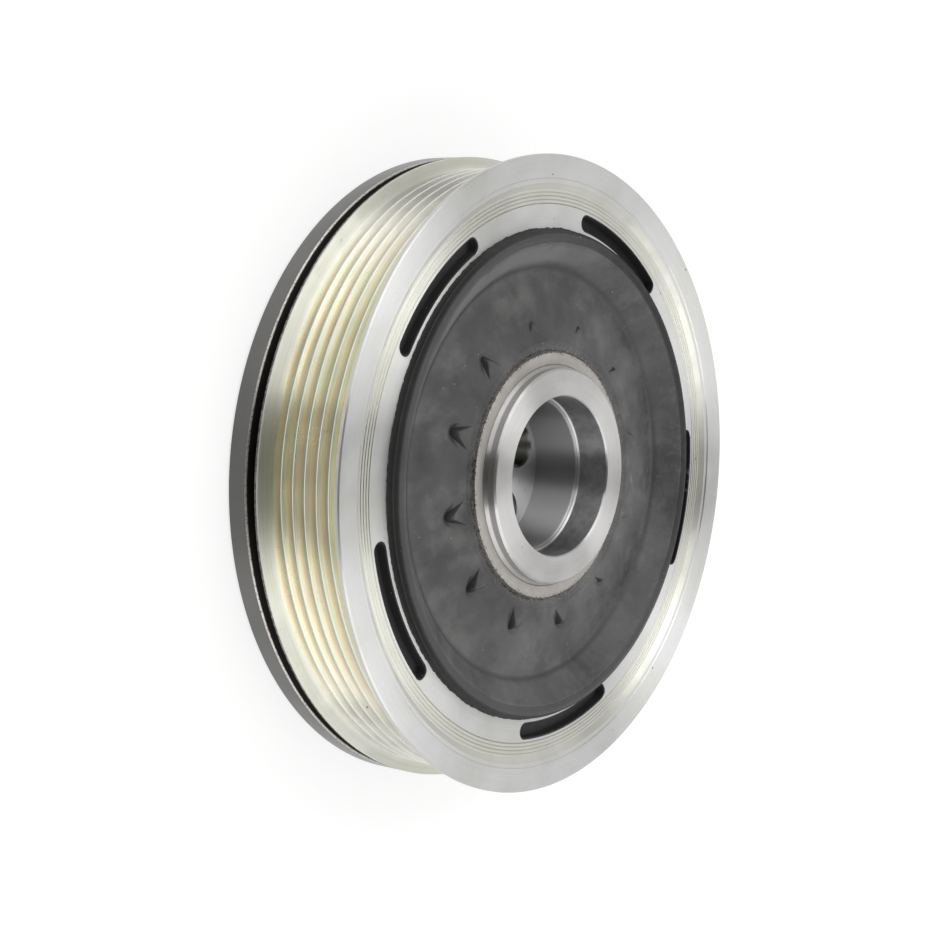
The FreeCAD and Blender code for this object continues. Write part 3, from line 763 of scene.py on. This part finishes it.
def make_pulley(material):
    """The belt rim with its six grooves, flange, dished face, fine ring cuts and slotted web."""
    corners = [(WEB_RADIUS, WEB_REAR, 0), (WEB_RADIUS, WEB_FRONT, 0)]
    for middle, depth in RING_CUTS:
        corners += [
            (middle - RING_CUT_WIDTH / 2, WEB_FRONT, 0.05 * MM),
            (middle, WEB_FRONT - depth, 0.04 * MM),
            (middle + RING_CUT_WIDTH / 2, WEB_FRONT, 0.05 * MM),
        ]
    bead_height = FLANGE_FRONT - 0.85 * MM
    corners += [
        (FACE_EDGE, WEB_FRONT, 0.3 * MM),
        (FACE_STEP, bead_height, 0.3 * MM),
        (BEAD - 0.15 * MM, bead_height + 0.05 * MM, 0.1 * MM),
        (BEAD + 0.1 * MM, bead_height + 0.32 * MM, 0.12 * MM),
        (FLANGE_RADIUS - 0.3 * MM, FLANGE_FRONT, 0.15 * MM),
        (FLANGE_RADIUS, FLANGE_FRONT - 0.3 * MM, 0.15 * MM),
        (FLANGE_RADIUS, FLANGE_FRONT - FLANGE_WIDTH, 0.2 * MM),
    ]
    mouth_half = ROOT_FLAT / 2 + (TIP_RADIUS - ROOT_RADIUS) * FLANK
    for index in range(GROOVES):
        middle = FIRST_GROOVE - index * RIB_PITCH
        if index > 0:
            corners.append((TIP_RADIUS, middle + mouth_half, 0.14 * MM))
        corners += [
            (ROOT_RADIUS, middle + ROOT_FLAT / 2, 0.25 * MM),
            (ROOT_RADIUS, middle - ROOT_FLAT / 2, 0.25 * MM),
        ]
        if index < GROOVES - 1:
            corners.append((TIP_RADIUS, middle - mouth_half, 0.14 * MM))
    last = FIRST_GROOVE - (GROOVES - 1) * RIB_PITCH
    land_front = last - ROOT_FLAT / 2 - (LAND_RADIUS - ROOT_RADIUS) * FLANK
    corners += [
        (LAND_RADIUS, land_front, 0.3 * MM),
        (LAND_RADIUS, RIM_TAIL + 0.6 * MM, 0.2 * MM),
        (LAND_RADIUS - 0.6 * MM, RIM_TAIL, 0.2 * MM),
        (BORE_RADIUS, RIM_TAIL, 0),
        (BORE_RADIUS, WEB_REAR, 0),
    ]
    piece = new_piece("pulley_rim", turned(rounded(corners), FINE_TURN), "pulley")
    cutter = bmesh.new()
    ease = 0.05 * MM
    for turn in SLOT_TURNS:
        prism(cutter, [
            slot_loop(turn, SLOT_INNER, SLOT_OUTER, WEB_REAR - 1 * MM),
            slot_loop(turn, SLOT_INNER, SLOT_OUTER, WEB_FRONT - ease),
            slot_loop(turn, SLOT_INNER - ease, SLOT_OUTER + ease, WEB_FRONT),
            slot_loop(turn, SLOT_INNER - ease, SLOT_OUTER + ease, WEB_FRONT + 1 * MM),
        ])
    carve(piece, cutter)
    give(piece, material)


def filled(points, gap):
    """The same line with points added, so that none are further apart than gap."""
    close = []
    for start, stop in zip(points, points[1:]):
        pieces = max(1, math.ceil((stop - start).length / gap))
        close += [start.lerp(stop, step / pieces) for step in range(pieces)]
    return close + [points[-1]]


def wedge_hollow(radius, angle):
    """How deep the field is sunk at a place, beside the nose of the nearest wedge."""
    pitch = 2 * math.pi / WEDGES
    index = round((angle - WEDGE_PHASE) / pitch)
    swing = angle - WEDGE_PHASE - index * pitch
    along = radius * math.cos(swing) - WEDGE_CENTRE
    aside = abs(radius * math.sin(swing))
    if math.atan2(aside, along) < math.pi / 2 - WEDGE_LEAN:
        outside = math.hypot(along, aside) - WEDGE_NOSE
    else:
        outside = along * math.sin(WEDGE_LEAN) + aside * math.cos(WEDGE_LEAN) - WEDGE_NOSE
    near = 1 - min(max(outside / HOLLOW_REACH, 0.0), 1.0)
    toward_nose = min(max(1 + along / (WEDGE_CENTRE - WEDGE_BASE), 0.0), 1.0)
    return HOLLOW_DEPTH * WEDGE_RELIEF[index % WEDGES] * toward_nose ** 2 * near * near * (3 - 2 * near)


def make_rubber(material):
    """The moulded disc: collar by the sleeve, coned field, trough, raised rim and ragged flash."""
    front = rounded([
        (SLEEVE_RADIUS, FIELD_HEIGHT - 0.55 * MM, 0),
        (SLEEVE_RADIUS + 0.45 * MM, FIELD_HEIGHT - 0.62 * MM, 0.15 * MM),
        (SLEEVE_RADIUS + 1.0 * MM, FIELD_HEIGHT - 0.42 * MM, 0.2 * MM),
        (SLEEVE_RADIUS + 2.65 * MM, FIELD_HEIGHT - 0.06 * MM, 0.2 * MM),
        (SLEEVE_RADIUS + 2.9 * MM, FIELD_HEIGHT + 0.04 * MM, 0.1 * MM),
        (SLEEVE_RADIUS + 3.2 * MM, FIELD_HEIGHT - 0.08 * MM, 0.15 * MM),
        (TROUGH_RADIUS, TROUGH_HEIGHT, 1.6 * MM),
        (SLOPE_TOP, CROWN_HEIGHT - 0.62 * MM, 0.1 * MM),
        (SLOPE_TOP + 0.3 * MM, CROWN_HEIGHT - 0.62 * MM, 0.08 * MM),
        (RIM_STEP, CROWN_HEIGHT - 0.22 * MM, 0.1 * MM),
        (CROWN_RADIUS, CROWN_HEIGHT, 1.2 * MM),
        (CROWN_RADIUS + 1.2 * MM, CROWN_HEIGHT - 0.4 * MM, 0.3 * MM),
        (PARTING_RADIUS - 0.26 * MM, CROWN_HEIGHT - 1.35 * MM, 0.06 * MM),
        (PARTING_RADIUS, CROWN_HEIGHT - 1.5 * MM, 0.08 * MM),
        (PARTING_RADIUS, CROWN_HEIGHT - 1.8 * MM, 0.08 * MM),
        (PARTING_RADIUS - 0.1 * MM, CROWN_HEIGHT - 1.95 * MM, 0.06 * MM),
        (RUBBER_RADIUS - 0.25 * MM, WEB_FRONT + 0.3 * MM, 0.1 * MM),
        (RUBBER_RADIUS, WEB_FRONT + 0.07 * MM, 0),
        (RUBBER_RADIUS + 2 * MM, WEB_FRONT, 0),
    ], 3)[:-1]
    seat = WEB_FRONT - 0.02 * MM
    skirt_rear = WEB_REAR - 1.2 * MM
    back = [Vector(point) for point in (
        (RUBBER_RADIUS, seat),
        (WEB_RADIUS, seat),
        (WEB_RADIUS, WEB_REAR),
        (SKIRT_RADIUS, WEB_REAR),
        (SKIRT_RADIUS, skirt_rear),
        (SKIRT_INNER, skirt_rear),
        (BACK_FOLD, WEB_REAR - 2.7 * MM),
        (BACK_FIELD, WEB_REAR - 5.1 * MM),
        (SLEEVE_RADIUS, rubber_low.z),
    )]
    flash_inner = RUBBER_RADIUS - 0.02 * MM
    crumb_outer = SLEEVE_RADIUS + 0.9 * MM

    def shift(radius, angle, height):
        """Ragged flash, crumbled edge at the sleeve, hollows by the wedges and a slightly uneven skin."""
        if height < TROUGH_HEIGHT - 0.5 * MM:
            return radius, height
        spot = polar(1.0, angle, 0.0)
        if radius > flash_inner:
            ragged = sum(size * noise.noise(spot * scale) for scale, size in FLASH_RAGS)
            return radius + ragged * MM, height
        uneven = 0.05 * MM * noise.noise(polar(radius, angle, 0.0) * 160)
        if WEDGE_BASE < radius < TROUGH_RADIUS:
            uneven -= wedge_hollow(radius, angle)
        if SLEEVE_RADIUS < radius < crumb_outer:
            uneven += 0.26 * MM * noise.noise(polar(1.0, angle, radius * 900) * 48)
        return radius, height + uneven

    disc = turned(filled(front, 0.55 * MM) + back, RUBBER_TURN, shift)
    give(new_piece("rubber_disc", disc, "decoupler_rubber"), material)


def wedge_loop(turn, grow, height, pull, steps=10):
    """Points round a wedge, its nose away from the axis. grow widens it and pull draws its nose in."""
    nose = WEDGE_NOSE + grow
    base = WEDGE_BASE - grow
    centre = WEDGE_CENTRE - pull
    side = (centre - base) * math.tan(WEDGE_LEAN) + nose / math.cos(WEDGE_LEAN)
    swing = math.pi / 2 - WEDGE_LEAN
    across = [(centre + nose * math.cos(angle), nose * math.sin(angle))
              for angle in (swing * (2 * step / steps - 1) for step in range(steps + 1))]
    across += [(base, side), (base, -side)]
    spin = Matrix.Rotation(turn, 3, "Z")
    return [spin @ Vector((x, y, height)) for x, y in across]


def make_wedges(material):
    """Twelve raised wedges that stand on the field, their nose sloped and their top edge worn soft."""
    bm = bmesh.new()
    for index in range(WEDGES):
        turn = WEDGE_PHASE + 2 * math.pi * index / WEDGES
        top = WEDGE_TOP - WEDGE_SINK * (1 - WEDGE_RELIEF[index])
        prism(bm, [wedge_loop(turn, grow * MM, top - drop * MM, pull * WEDGE_PULL)
                   for grow, drop, pull in WEDGE_ROWS])
    give(new_piece("field_wedges", bm), material)


def make_lugs(material):
    """Rubber lugs that fill the pulley's slots, each hollowed to a thin wall and floor."""
    bm = bmesh.new()
    top = WEB_FRONT - LUG_RECESS
    floor = WEB_REAR + LUG_FLOOR
    inner = SLOT_INNER + LUG_GAP
    outer = SLOT_OUTER - LUG_GAP
    soft = 0.1 * MM
    for turn in SLOT_TURNS:
        prism(bm, [
            slot_loop(turn, inner, outer, WEB_REAR - 0.05 * MM),
            slot_loop(turn, inner, outer, top - soft),
            slot_loop(turn, inner + soft, outer - soft, top),
            slot_loop(turn, inner + LUG_WALL - soft, outer - LUG_WALL + soft, top),
            slot_loop(turn, inner + LUG_WALL, outer - LUG_WALL, top - soft),
            slot_loop(turn, inner + 1.2 * LUG_WALL, outer - 1.2 * LUG_WALL, floor + 3 * soft),
            slot_loop(turn, inner + 1.5 * LUG_WALL, outer - 1.5 * LUG_WALL, floor),
        ])
    give(new_piece("slot_lugs", bm), material)


def make_hub(material):
    """The turned hub, with its bolt holes through the cup's floor."""
    web_front = 8.0 * MM
    web_rear = 2.5 * MM
    web_round = 2.6 * MM
    rim_front = track_high.z + 1.2 * MM
    rim_rear = track_low.z - 1.2 * MM
    rim_round = 0.5 * MM
    foot_radius = BOSS_RADIUS + BOSS_FOOT
    foot_rear = sleeve_high.z - 0.7 * MM
    corners = [
        (0, FLOOR, 0),
        (CUP_RADIUS, FLOOR, 0.15 * MM),
        (CUP_RADIUS, LEDGE_TOP - 0.75 * MM, 0.06 * MM),
        (CUP_RADIUS + 0.28 * MM, LEDGE_TOP - 0.55 * MM, 0.05 * MM),
        (CUP_RADIUS + 0.5 * MM, LEDGE_TOP - 0.58 * MM, 0.05 * MM),
        (CUP_RADIUS + 0.62 * MM, LEDGE_TOP - 0.25 * MM, 0.05 * MM),
        (MOUTH_RADIUS, LEDGE_TOP, 0.08 * MM),
        (MOUTH_RADIUS, hub_high.z - 0.4 * MM, 0.08 * MM),
        (MOUTH_RADIUS + 0.35 * MM, hub_high.z, 0.1 * MM),
        (BOSS_RADIUS - 0.5 * MM, hub_high.z, 0.12 * MM),
        (BOSS_RADIUS, hub_high.z - 0.5 * MM, 0.12 * MM),
        (BOSS_RADIUS, sleeve_high.z + 0.85 * MM, 0.35 * MM),
        (foot_radius, sleeve_high.z, 0.1 * MM),
        (foot_radius, foot_rear, 0),
        (BOSS_RADIUS, foot_rear, 0),
        (BOSS_RADIUS, sleeve_low.z, 0),
        (SHOULDER_RADIUS, sleeve_low.z, 0.3 * MM),
        (SHOULDER_RADIUS, web_front, web_round),
        (RIM_INNER, web_front, web_round),
        (RIM_INNER, rim_front, rim_round),
        (hub_high.x, rim_front, rim_round),
        (hub_high.x, rim_rear, rim_round),
        (RIM_INNER, rim_rear, rim_round),
        (RIM_INNER, web_rear, web_round),
        (COLLAR_RADIUS, web_rear, web_round),
        (COLLAR_RADIUS, hub_low.z + 0.8 * MM, 0.2 * MM),
        (COLLAR_RADIUS - 0.8 * MM, hub_low.z, 0.2 * MM),
        (PILOT_RADIUS + 0.6 * MM, hub_low.z, 0.15 * MM),
        (PILOT_RADIUS, hub_low.z + 0.6 * MM, 0.15 * MM),
        (PILOT_RADIUS, 0, 0),
        (0, 0, 0),
    ]
    piece = new_piece("hub_body", turned(rounded(corners, 5), COARSE_TURN), "hub")
    cutter = bmesh.new()
    for index in range(BOLTS):
        centre = polar(BOLT_CIRCLE, 2 * math.pi * index / BOLTS, 0)
        prism(cutter, [
            round_loop(centre, BOLT_HOLE, HOLE_SIDES, -1 * MM),
            round_loop(centre, BOLT_HOLE, HOLE_SIDES, FLOOR - 4 * BOLT_BEVEL),
            round_loop(centre, BOLT_HOLE + BOLT_BEVEL - BOLT_EDGE, HOLE_SIDES, FLOOR - BOLT_EDGE),
            round_loop(centre, BOLT_HOLE + BOLT_BEVEL, HOLE_SIDES, FLOOR),
            round_loop(centre, BOLT_HOLE + BOLT_BEVEL, HOLE_SIDES, FLOOR + 0.5 * MM),
        ])
    carve(piece, cutter)
    give(piece, material)


def make_sleeve(material):
    """The steel sleeve, round the boss and its foot."""
    corners = [
        (BOSS_RADIUS, sleeve_low.z, 0),
        (SLEEVE_RADIUS, sleeve_low.z, 0.3 * MM),
        (SLEEVE_RADIUS, sleeve_high.z, 0.2 * MM),
        (BOSS_RADIUS + BOSS_FOOT + 0.25 * MM, sleeve_high.z, 0.06 * MM),
        (BOSS_RADIUS + BOSS_FOOT, sleeve_high.z - 0.2 * MM, 0),
    ]
    sleeve = turned(rounded(corners), COARSE_TURN)
    give(new_piece("sleeve_body", sleeve, "decoupler_sleeve"), material)


def make_inertia_ring(material):
    """The dark ring: barrel in the pulley, wide band behind, two balance drillings in the rear."""
    chamfer = 0.7 * MM
    corners = [
        (track_high.x, ring_low.z + chamfer, 0.15 * MM),
        (track_high.x + chamfer, ring_low.z, 0.15 * MM),
        (ring_high.x - chamfer, ring_low.z, 0.2 * MM),
        (ring_high.x, ring_low.z + chamfer, 0.2 * MM),
        (ring_high.x, RING_FRONT - RING_EDGE, 0.08 * MM),
        (ring_high.x - RING_EDGE, RING_FRONT, 0.08 * MM),
        (BARREL_RADIUS, RING_FRONT, 0.3 * MM),
        (BARREL_RADIUS, ring_high.z, 0.3 * MM),
        (track_high.x, ring_high.z, 0.3 * MM),
    ]
    piece = new_piece("ring_body", turned(rounded(corners), FINE_TURN), "inertia_ring")
    cutter = bmesh.new()
    for turn in BALANCE_TURNS:
        centre = polar(BALANCE_RADIUS, turn, 0)
        prism(cutter, [
            round_loop(centre, BALANCE_HOLE, DRILLING_SIDES, ring_low.z - 1 * MM),
            round_loop(centre, BALANCE_HOLE, DRILLING_SIDES, ring_low.z + BALANCE_DEPTH),
        ])
    carve(piece, cutter)
    give(piece, material)


def make_track(material):
    """The damper's rubber track, with hollow ends as squeezed rubber has."""
    dish = 1.1 * MM
    hollow = 2.0 * MM
    middle = (hub_high.x + track_high.x) / 2
    corners = [
        (hub_high.x, track_low.z, 0),
        (middle, track_low.z + dish, hollow),
        (track_high.x, track_low.z, 0),
        (track_high.x, track_high.z, 0),
        (middle, track_high.z - dish, hollow),
        (hub_high.x, track_high.z, 0),
    ]
    track = turned(rounded(corners, 8), COARSE_TURN)
    give(new_piece("track_body", track, "damper_rubber"), material)


def area_light(name, place, size, power):
    """A rectangular lamp that faces the part."""
    light = bpy.data.lights.new(name, "AREA")
    light.shape = "RECTANGLE"
    light.size, light.size_y = size
    light.energy = power
    lamp = add_object(name, light)
    lamp.location = place
    lamp.rotation_mode = "QUATERNION"
    lamp.rotation_quaternion = (LAMP_TARGET - place).to_track_quat("-Z", "Y")


def seen_directly(nodes, links):
    """1 for rays from the camera and for mirrored and refracted ones, 0 for light that scatters."""
    path = nodes.new("ShaderNodeLightPath")
    total = path.outputs["Is Camera Ray"]
    for name in ("Is Glossy Ray", "Is Transmission Ray"):
        either = nodes.new("ShaderNodeMath")
        either.operation = "MAXIMUM"
        links.new(total, either.inputs[0])
        links.new(path.outputs[name], either.inputs[1])
        total = either.outputs["Value"]
    return total


def make_world():
    """White behind the object and in its reflections, and a softer level for the light it gives."""
    world = bpy.data.worlds.new("studio")
    bpy.context.scene.world = world
    world.use_nodes = True
    nodes, links = world.node_tree.nodes, world.node_tree.links
    dim = nodes["Background"]
    dim.inputs["Color"].default_value = WHITE
    dim.inputs["Strength"].default_value = WORLD_LIGHT
    white = nodes.new("ShaderNodeBackground")
    white.inputs["Color"].default_value = WHITE
    white.inputs["Strength"].default_value = 1.0
    mixed = nodes.new("ShaderNodeMixShader")
    links.new(seen_directly(nodes, links), mixed.inputs["Fac"])
    links.new(dim.outputs["Background"], mixed.inputs[1])
    links.new(white.outputs["Background"], mixed.inputs[2])
    links.new(mixed.outputs["Shader"], nodes["World Output"].inputs["Surface"])


def make_floor():
    """A pale floor that the part lies on. It looks white where nothing shades it."""
    corners = [(x * FLOOR_HALF, y * FLOOR_HALF, ring_low.z) for x, y in ((-1, -1), (1, -1), (1, 1), (-1, 1))]
    mesh = bpy.data.meshes.new("floor")
    mesh.from_pydata(corners, [], [(0, 1, 2, 3)])
    floor = add_object("floor", mesh)
    material = bpy.data.materials.new("floor_paper")
    material.use_nodes = True
    nodes, links = material.node_tree.nodes, material.node_tree.links
    nodes.remove(nodes["Principled BSDF"])
    paper = nodes.new("ShaderNodeBsdfDiffuse")
    paper.inputs["Color"].default_value = FLOOR_TONE
    glow = nodes.new("ShaderNodeEmission")
    glow.inputs["Color"].default_value = WHITE
    level = nodes.new("ShaderNodeMath")
    level.operation = "MULTIPLY"
    links.new(seen_directly(nodes, links), level.inputs[0])
    level.inputs[1].default_value = FLOOR_GLOW
    links.new(level.outputs["Value"], glow.inputs["Strength"])
    both = nodes.new("ShaderNodeAddShader")
    links.new(paper.outputs["BSDF"], both.inputs[0])
    links.new(glow.outputs["Emission"], both.inputs[1])
    links.new(both.outputs["Shader"], nodes["Material Output"].inputs["Surface"])
    mesh.materials.append(material)


def make_camera():
    """The camera at the photograph's view."""
    data = bpy.data.cameras.new("camera")
    data.sensor_fit = "HORIZONTAL"
    data.sensor_width = CAMERA_SENSOR
    data.lens = CAMERA_LENS
    data.clip_start = 0.01
    data.clip_end = 50.0
    camera = add_object("camera", data)
    forward = CAMERA_FORWARD.normalized()
    right = forward.cross(CAMERA_UP).normalized()
    up = right.cross(forward)
    turn = Matrix((right, up, -forward)).transposed()
    camera.matrix_world = Matrix.Translation(CAMERA_PLACE) @ turn.to_4x4()
    bpy.context.scene.camera = camera


def heading(azimuth, rise):
    """A direction from the part, by azimuth from the photo's right and rise from level, in degrees."""
    lift = math.radians(rise)
    return polar(math.cos(lift), math.radians(azimuth) + PHOTO_TURN, math.sin(lift))


def dark_card(name, level, low, high):
    """A curved dark card behind the lamps, unseen by the camera, that shades and is mirrored on one side."""
    turn = Matrix.Rotation(PHOTO_TURN, 3, "Z")
    corners = []
    for row in range(CARD_CELLS + 1):
        left = Vector(low[0]).lerp(Vector(high[0]), row / CARD_CELLS)
        right = Vector(low[1]).lerp(Vector(high[1]), row / CARD_CELLS)
        for column in range(CARD_CELLS + 1):
            corners.append(turn @ left.lerp(right, column / CARD_CELLS).normalized() * CARD_DISTANCE)
    stride = CARD_CELLS + 1
    faces = [(start, start + 1, start + stride + 1, start + stride)
             for row in range(CARD_CELLS) for start in range(row * stride, row * stride + CARD_CELLS)]
    mesh = bpy.data.meshes.new(name)
    mesh.from_pydata(corners, [], faces)
    card = add_object(name, mesh)
    card.visible_camera = False
    material = bpy.data.materials.new(name)
    material.use_nodes = True
    surface = material.node_tree.nodes["Principled BSDF"]
    surface.inputs["Base Color"].default_value = (level, level, level, 1.0)
    surface.inputs["Roughness"].default_value = 1.0
    mesh.materials.append(material)


def make_lights():
    """Two soft lamps on the camera's side, two beyond the part, and the dark cards."""
    for name, azimuth, rise, size, power in LAMPS:
        area_light(name, LAMP_TARGET + heading(azimuth, rise) * LAMP_DISTANCE, size, power)
    for card in CARDS:
        dark_card(*card)


def main():
    steel = plated_steel()
    rubber = moulded_rubber()
    make_pulley(steel)
    make_rubber(rubber)
    make_wedges(rubber)
    make_lugs(rubber)
    make_hub(turned_steel())
    make_sleeve(sleeve_steel())
    make_inertia_ring(coated_iron())
    make_track(track_rubber())
    polymer = bearing_polymer()
    for name in ("bearing_bush", "thrust_ring"):
        give(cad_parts[name], polymer)
    make_world()
    make_floor()
    make_camera()
    make_lights()
    bpy.context.scene.view_settings.view_transform = "Standard"


main()
